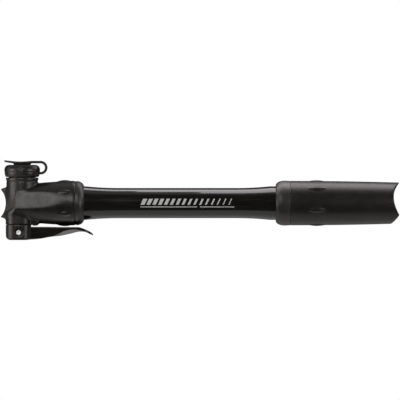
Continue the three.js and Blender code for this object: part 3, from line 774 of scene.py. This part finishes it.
# The strap: how far from the valve's axis it starts, the middle and radius of its loop, its thickness
# and half of its width.
STRAP = {"start": 9.3, "x": 21.8, "y": 19.4, "r": 3.04, "thick": 1.4, "half": 2.1}
LID_TOP = STRAP["y"] + STRAP["r"] + STRAP["thick"] / 2
LID_LOW = LID_TOP - STRAP["thick"]
LID_END = CAP_HIGH[0]
PLUG = flat_outline([
    (-5, 19.75), (3.6, 19.75), (4.2, 20.2), (4.2, 21.0), (4.75, 21.15), (5.05, 21.9), (-5, 21.9),
])
LID_DISC_R = 5.15
LID_UPPER = through((2, CAP_HIGH[1]), (5, 23.15), (8, 22.85), (12, 22.75), (LID_END, LID_TOP))
LID_LOWER = through((2, CAP_HIGH[1] - 1.05), (5, 22.0), (8, 21.7), (12, 21.6), (LID_END, LID_LOW))
TAB_HALF = 3.4
STRAP_SIDES = 28
STRAP_POWER = 0.35  # how square the strap's section is: 1 would be an ellipse, 0 a rectangle


def cap_field(x, y, z):
    plug = PLUG(valve_radius(x, z), y)
    lid = common(y - LID_UPPER(x), LID_LOWER(x) - y, 0.3)
    disc = valve_radius(x, z) - LID_DISC_R
    tab = round_box(x, z, (CAP_LOW[0], -TAB_HALF), (BOSS_X, TAB_HALF), TAB_HALF - 0.1)
    neck = round_box(x, z, (BOSS_X, -STRAP["half"]), (LID_END + 2, STRAP["half"]), 0.1)
    plan = join(join(disc, tab, 2.5), neck, 2.0)
    lid = common(common(lid, plan, 0.4), x - LID_END)
    return join(lid, plug, 0.3)


def strap_path():
    """The strap's middle line from its ring, round the loop, to the cap's lid."""
    x, y, r = STRAP["x"], STRAP["y"], STRAP["r"]
    ring = [(BOSS_X + STRAP["start"] + 0.2 * i, y - r) for i in range(5)]
    loop = [(x + r * math.sin(a), y - r * math.cos(a)) for a in np.linspace(0, math.pi, 41)]
    lid = [(a, y + r) for a in np.linspace(x - 0.6, LID_END + 0.06, 7)]
    return np.array(ring + loop + lid)


def make_strap():
    """The strap, swept as a flat band with round edges."""
    path = strap_path()
    ahead = np.gradient(path, axis=0)
    ahead /= np.linalg.norm(ahead, axis=1)[:, None]
    across = np.stack([-ahead[:, 1], ahead[:, 0]], axis=1)
    angles = np.linspace(0, 2 * math.pi, STRAP_SIDES, endpoint=False)
    thick = STRAP["thick"] / 2 * np.sign(np.sin(angles)) * np.abs(np.sin(angles)) ** STRAP_POWER
    wide = STRAP["half"] * np.sign(np.cos(angles)) * np.abs(np.cos(angles)) ** STRAP_POWER
    points = []
    for place, side in zip(path, across):
        flat = place + thick[:, None] * side
        points.append(np.column_stack([flat, wide]))
    points = np.concatenate(points)
    faces = quads_between(len(path), len(angles))
    last = (len(path) - 1) * len(angles)
    faces.append(tuple(range(len(angles))))
    faces.append(tuple(last + j for j in reversed(range(len(angles)))))
    made = piece("tether_strap", points, faces, None, SOFT_RUBBER)
    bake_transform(made)
    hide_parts("cap_strap")


def make_cap(step):
    moulding("tethered_cap", cap_field, CAP_LOW, CAP_HIGH, step, "cap", SOFT_RUBBER,
             ["dust_cap"])


# ------------------------------------------------------------------ barrel

MIDDLE_R = 8.26
BORE_R = 7.4
THIN_FROM, THIN_TO = 65, 129  # where the butted ends have thinned to the middle


def barrel_radius(x):
    """The butted barrel's outside: a square law out to each thick end."""
    left = np.clip((THIN_FROM - x) / (THIN_FROM - HEAD_FACE), 0, 1)
    right = np.clip((x - THIN_TO) / (HANDLE_START - 3 - THIN_TO), 0, 1)
    return MIDDLE_R + (BARREL_END_R - MIDDLE_R) * np.maximum(left, right) ** 2


def make_barrel():
    places = np.concatenate([
        np.linspace(HEAD_FACE, THIN_FROM, 24), np.linspace(THIN_FROM + 4, THIN_TO - 4, 12),
        np.linspace(THIN_TO, HANDLE_START - 3, 26),
    ])
    outside = [(float(x), float(barrel_radius(x)), 0.0) for x in places]
    outline = [(BARREL_START, BORE_R), (BARREL_START, BARREL_END_R), *outside,
               (BARREL_STOP, BARREL_END_R), (BARREL_STOP, BORE_R)]
    turned("butted_barrel", outline, "head", BARREL_BLACK, ["barrel"], edge=0.3, sides=256)


PRINT_LIFT = 0.03
BARS = 16
BAR_START, BAR_PITCH, BAR_WIDEST = 76.5, 3.2, 2.1
BAR_LOW, BAR_HIGH, BAR_LEAN = -0.9, 2.4, 1.5
RULE_Y, RULE_HALF = -2.1, 0.22
RULE_SPLIT = 0.62  # where the gap between the two rules is, as a share of the row of bars


def wrapped(corners, steps):
    """A four-cornered patch of print, bent round the barrel: points and faces of a thin closed sheet.
    The corners are (x, y) from lower left, in turn, and y is measured round the barrel."""
    (ax, ay), (bx, by), (cx, cy), (dx, dy) = corners
    points = []
    for lift in (-0.02, PRINT_LIFT):
        for t in np.linspace(0, 1, steps + 1):
            for (x0, y0), (x1, y1) in (((ax, ay), (dx, dy)), ((bx, by), (cx, cy))):
                x, angle = x0 + (x1 - x0) * t, (y0 + (y1 - y0) * t) / MIDDLE_R
                radius = barrel_radius(x) + lift
                points.append((x, radius * math.sin(angle), radius * math.cos(angle)))
    rows = steps + 1
    faces = []
    for i in range(steps):
        a = 2 * i
        faces.append((a, a + 2, a + 3, a + 1))
        faces.append(tuple(2 * rows + k for k in (a, a + 1, a + 3, a + 2)))
        faces.append((a, 2 * rows + a, 2 * rows + a + 2, a + 2))
        faces.append((a + 1, a + 3, 2 * rows + a + 3, 2 * rows + a + 1))
    faces.append((0, 1, 2 * rows + 1, 2 * rows))
    top = 2 * steps
    faces.append((top, 2 * rows + top, 2 * rows + top + 1, top + 1))
    return points, faces


def make_print():
    """Plain decoration on the barrel: a row of leaning bars that thin out, over two fine rules."""
    points, faces = [], []

    def lay(corners, steps=8):
        more, quads = wrapped(corners, steps)
        faces.extend(tuple(len(points) + k for k in face) for face in quads)
        points.extend(more)

    for i in range(BARS):
        left = BAR_START + BAR_PITCH * i
        right = left + BAR_WIDEST * (1 - 0.8 * i / (BARS - 1)) + 0.1
        lay([(left, BAR_LOW), (right, BAR_LOW), (right + BAR_LEAN, BAR_HIGH), (left + BAR_LEAN, BAR_HIGH)])
    end = BAR_START + BAR_PITCH * BARS
    gap = BAR_START + RULE_SPLIT * (end - BAR_START)
    low, high = RULE_Y - RULE_HALF, RULE_Y + RULE_HALF
    for start, stop in ((BAR_START, gap - 0.8), (gap + 0.8, end)):
        lay([(start, low), (stop, low), (stop, high), (start, high)], 2)
    made = piece("barrel_print", points, faces, "head", PRINT)
    made.data.polygons.foreach_set("use_smooth", [False] * len(made.data.polygons))


# ------------------------------------------------------------------ piston rod and the barrel's far end

ROD_BORE_R, BUSH_R = 1.7, 4.7


def make_rod():
    rod = [(ROD_START, ROD_BORE_R), (ROD_START, ROD_R), (ROD_STOP, ROD_R), (ROD_STOP, ROD_BORE_R)]
    turned("turned_rod", rod, "rod", ALUMINIUM, ["piston_rod"], edge=0.3, sides=96)


def make_end_plug():
    spigot, flange, end = END_CAP_LOW[0], BARREL_STOP + 0.2, END_CAP_HIGH[0]
    bush_bore, rod_hole = BUSH_R + 0.2, ROD_R + 0.35
    cap = [(spigot, bush_bore), (spigot, BORE_R - 0.1), (flange, BORE_R - 0.1), (flange, BARREL_END_R),
           (end, BARREL_END_R, 0.9), (end, rod_hole), (end - 1.3, rod_hole), (end - 1.3, bush_bore)]
    turned("end_plug", cap, "head", BLACK_PLASTIC, ["barrel_end_cap"], edge=0.2)


def make_bush():
    start, stop = (corner[0] for corner in span("rod_bush"))
    inner = ROD_R + 0.1
    bush = [(start, inner), (start, BUSH_R), (stop, BUSH_R), (stop, inner)]
    turned("guide_bush", bush, "head", NYLON, ["rod_bush"], edge=0.2)


# ------------------------------------------------------------------ handle

GRIP_TURN = 12.0
GRIP_R, GRIP_TAPER = 12.17, 0.76
GRIP_TAPER_LENGTH = 54.2
POCKET_R, POCKET_END = 5, 209.8  # the room for the screw's head, inside the grip's end
# The palm end: a shallow dish whose rim rises to three sharp horns. It leans, so that the horn on the
# far side is the lowest.
PALM = {"dish": 3.6, "rim_lift": 1.3, "wave": 1.85, "rim": 11.0, "lean_y": 0.35, "lean_z": 0.7, "turn": 6.0}


def grip_radius(x):
    return GRIP_R - GRIP_TAPER * np.clip((x - GRIP_START) / GRIP_TAPER_LENGTH, 0, 1.05) ** 2


def palm_end(x, y, z):
    share = np.clip(np.hypot(y, z) / PALM["rim"], 0, 1.1)
    horns = 1 - 2 * np.abs(np.sin(1.5 * (np.arctan2(z, y) - math.radians(PALM["turn"]))))
    dish = x - LENGTH + PALM["dish"] - PALM["rim_lift"] * share**2 - PALM["wave"] * share**3 * horns
    return dish - (PALM["lean_y"] * y + PALM["lean_z"] * z) / PALM["rim"]


def grip_field(x, y, z):
    radius = np.hypot(y, z)
    bumps = almond_bumps(x, y, z, middle=172.8, half_length=5.6, surface=GRIP_R - 0.06, rise=0.62,
                         turn_degrees=-GRIP_TURN)
    wall = join(radius - grip_radius(x), bumps, 0.25)
    body = common(common(wall, PARTING + 0.04 - x, 0.15), palm_end(x, y, z), 0.35)
    sleeve = np.maximum(radius - CORE_HIGH[2] - 0.15, x - CORE_HIGH[0] - 0.2)
    pocket = np.maximum(radius - POCKET_R, x - POCKET_END)
    return carve(carve(body, sleeve), pocket)


def make_grip(step):
    low, high = span("handle_grip")
    moulding("palm_grip", grip_field, low, high, step, "handle", GRIP_RUBBER,
             ["handle_grip"])


NOSE = {"x": 155.1, "run": 4.7, "r": 9.7, "rise": 2.6}  # the ring's rounded nose, a quarter ellipse


def make_nose_ring():
    angles = np.linspace(0, math.pi / 2, 16)
    nose = [
        (NOSE["x"] - NOSE["run"] * math.cos(a), NOSE["r"] + NOSE["rise"] * math.sin(a), 0.0)
        for a in angles
    ]
    bore, end = CORE_HIGH[2] - 1.1, PARTING - 0.04
    outline = [(HANDLE_START, bore), *nose, (end, 12.19), (end, bore)]
    turned("nose_ring", outline, "handle", RING_RUBBER, ["handle_collar"], edge=0.12)


SLEEVE_THICK, END_WALL, SCREW_HOLE_R = 1.15, 2.7, 2.2


def make_sleeve_core():
    """The stiff sleeve inside the grip, with its end wall round the screw."""
    start, end, outer = CORE_LOW[0], CORE_HIGH[0], CORE_HIGH[2]
    inner, wall = outer - SLEEVE_THICK, end - END_WALL
    core = [(start, inner), (start, outer), (end, outer), (end, SCREW_HOLE_R),
            (wall, SCREW_HOLE_R), (wall, inner)]
    turned("sleeve_core", core, "handle", BLACK_PLASTIC, ["handle_core"], edge=0.3)


# ------------------------------------------------------------------ carried-over CAD nodes

CARRIED = {
    "barrel_seal": SOFT_RUBBER, "check_valve_seat": NYLON, "check_valve_flap": SOFT_RUBBER,
    "lock_plunger": NYLON, "plunger_seal": SOFT_RUBBER, "depressor_pin": STEEL, "piston_body": NYLON,
    "piston_ring": SOFT_RUBBER, "piston_screw": STEEL, "bump_stop": SOFT_RUBBER, "handle_screw": STEEL,
    "handle_washer": STEEL,
}


def finish_carried():
    """The small inner pieces keep their CAD shape and get a real finish."""
    for name, material in CARRIED.items():
        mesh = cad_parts[name].data
        mesh.materials.clear()
        mesh.materials.append(material)


# ------------------------------------------------------------------ stage

FLOOR_SIZE = 6.0
PHOTO_WIDTH_MM = 218.9  # what the photograph's width takes in at the pump's middle
PHOTO_MIDDLE_Y = 0.00005
LENS = 800.0
SENSOR = 36.0


def number(tree, operation, *inputs):
    """A maths node over sockets and plain numbers."""
    node = tree.nodes.new("ShaderNodeMath")
    node.operation = operation
    for socket, value in zip(node.inputs, inputs):
        if isinstance(value, (int, float)):
            socket.default_value = value
        else:
            tree.links.new(value, socket)
    return node.outputs[0]


def fade(tree, value, start, end):
    """A number that rises smoothly from 0 to 1 as value goes from start to end."""
    node = tree.nodes.new("ShaderNodeMapRange")
    node.interpolation_type = "SMOOTHSTEP"
    node.inputs["From Min"].default_value = start
    node.inputs["From Max"].default_value = end
    tree.links.new(value, node.inputs["Value"])
    return node.outputs["Result"]


def make_floor():
    """A white light table. Only the camera sees it, so that the panels round it light the pump from
    below the horizon as well, as they would a pump that is held up on glass."""
    half = FLOOR_SIZE / 2
    mesh = bpy.data.meshes.new("floor")
    sides = [(-half, -half), (half, -half), (half, half), (-half, half)]
    mesh.from_pydata([(x, y, -0.0005) for x, y in sides], [], [(0, 1, 2, 3)])
    floor = bpy.data.objects.new("floor", mesh)
    bpy.context.scene.collection.objects.link(floor)
    material = bpy.data.materials.new("light_table")
    material.use_nodes = True
    tree = material.node_tree
    tree.nodes.clear()
    rays = tree.nodes.new("ShaderNodeLightPath")
    glow = tree.nodes.new("ShaderNodeEmission")
    clear = tree.nodes.new("ShaderNodeBsdfTransparent")
    mix = tree.nodes.new("ShaderNodeMixShader")
    output = tree.nodes.new("ShaderNodeOutputMaterial")
    tree.links.new(rays.outputs["Is Camera Ray"], mix.inputs["Fac"])
    tree.links.new(clear.outputs[0], mix.inputs[1])
    tree.links.new(glow.outputs[0], mix.inputs[2])
    tree.links.new(mix.outputs[0], output.inputs["Surface"])
    mesh.materials.append(material)


# What each panel of the studio gives off, by its angle round the pump: degrees from straight up,
# positive towards the valve's side.
PANELS = [
    (-180, 0.1), (-150, 0.3), (-134, 0.62), (-60, 0.62), (-54, 0.06), (0, 0.05), (62, 0.06),
    (80, 0.4), (125, 0.4), (140, 0.06), (180, 0.05),
]
BRIGHTEST = 6.0


def make_world():
    """The studio: white to the camera, and panels of light by direction to everything else."""
    world = bpy.data.worlds.new("studio")
    bpy.context.scene.world = world
    world.use_nodes = True
    tree = world.node_tree
    place = tree.nodes.new("ShaderNodeTexCoord")
    direction = place.outputs["Generated"]
    split = tree.nodes.new("ShaderNodeSeparateXYZ")
    tree.links.new(direction, split.inputs["Vector"])
    angle = number(tree, "ARCTAN2", split.outputs["Y"], split.outputs["Z"])
    turn = number(tree, "MULTIPLY_ADD", angle, 0.5 / math.pi, 0.5)
    panels = tree.nodes.new("ShaderNodeValToRGB")
    elements = panels.color_ramp.elements
    while len(elements) < len(PANELS):
        elements.new(0.5)
    for element, (degrees, strength) in zip(elements, PANELS):
        element.position = degrees / 360 + 0.5
        level = strength / BRIGHTEST
        element.color = (level, level, level, 1)
    tree.links.new(turn, panels.inputs["Fac"])
    total = number(tree, "MULTIPLY", panels.outputs["Color"], BRIGHTEST)
    along = number(tree, "ABSOLUTE", split.outputs["X"])
    total = number(tree, "MULTIPLY", total, fade(tree, along, 0.96, 0.75))
    rays = tree.nodes.new("ShaderNodeLightPath")
    seen = rays.outputs["Is Camera Ray"]
    kept = number(tree, "MULTIPLY", total, number(tree, "SUBTRACT", 1.0, seen))
    background = tree.nodes["Background"]
    tree.links.new(number(tree, "ADD", kept, seen), background.inputs["Strength"])
    background.inputs["Color"].default_value = (1, 1, 1, 1)


def softbox(name, place, target, size, radiance, colour=(1, 1, 1)):
    light = bpy.data.lights.new(name, "AREA")
    light.shape = "RECTANGLE"
    light.size, light.size_y = size
    light.color = colour
    light.energy = radiance * math.pi * size[0] * size[1]
    lamp = bpy.data.objects.new(name, light)
    lamp.location = place
    aim = Vector(target) - Vector(place)
    lamp.rotation_mode = "QUATERNION"
    lamp.rotation_quaternion = aim.to_track_quat("-Z", "Y")
    lamp.visible_camera = False
    bpy.context.scene.collection.objects.link(lamp)


def make_camera():
    """Straight above the pump, from far off with a long lens, so that nothing leans outward."""
    data = bpy.data.cameras.new("camera")
    data.lens, data.sensor_width = LENS, SENSOR
    data.clip_end = 20
    camera = bpy.data.objects.new("camera", data)
    distance = PHOTO_WIDTH_MM * MM * LENS / SENSOR
    camera.location = (0, PHOTO_MIDDLE_Y, ORIGIN[2] + distance)
    bpy.context.scene.collection.objects.link(camera)
    bpy.context.scene.camera = camera


# The strip light beside the barrel, on the valve's side: its lengths, each from left to right with its
# top edge. It starts past the head and grows taller towards the handle.
STRIP = {"y": 0.048, "low": -0.011, "radiance": 3.5}
STRIP_LENGTHS = [(-0.066, -0.035, 0.005), (-0.035, 0.0, 0.014), (0.0, 0.16, 0.026)]
STRIP_COLOUR = (1, 0.955, 1)
# The other lights, in metres: where each stands, what it faces, its size and its radiance. The head's
# box lights the cheeks, the card the left of the bosses, the key their right, and the small card the
# lever's underside.
SOFTBOXES = {
    "head_box": ((-0.137, 0.105, 0.25), (-0.09, 0, 0.01), (0.125, 0.11), 5.6),
    "left_card": ((-0.21, 0, 0.055), (-0.1, 0, 0.02), (0.12, 0.09), 3.1),
    "right_key": ((0.3, 0.04, 0.3), (-0.07, 0, 0.01), (0.2, 0.2), 4.4),
    "lever_card": ((-0.069, -0.065, 0.002), (-0.071, -0.017, 0.014), (0.022, 0.03), 2.0),
}


def make_lights():
    for name, (place, target, size, radiance) in SOFTBOXES.items():
        softbox(name, place, target, size, radiance)
    for i, (left, right, high) in enumerate(STRIP_LENGTHS):
        middle = ((left + right) / 2, STRIP["y"], (STRIP["low"] + high) / 2)
        target, size = (middle[0], 0, middle[2]), (right - left, high - STRIP["low"])
        softbox(f"valve_side_strip_{i}", middle, target, size, STRIP["radiance"], STRIP_COLOUR)


bpy.context.scene.view_settings.view_transform = "Standard"
STEP = 0.3  # the cells that pieces are skinned with, in millimetres
make_camera()
make_floor()
make_world()
make_lights()
make_jacket(STEP)
make_core(STEP)
make_collar_ring()
make_lever_pin()
make_lever(STEP)
make_nut(0.8 * STEP)
make_tether_ring()
make_gasket()
make_washer()
make_cap(0.6 * STEP)
make_strap()
make_barrel()
make_print()
make_rod()
make_end_plug()
make_bush()
make_grip(STEP)
make_nose_ring()
make_sleeve_core()
finish_carried()
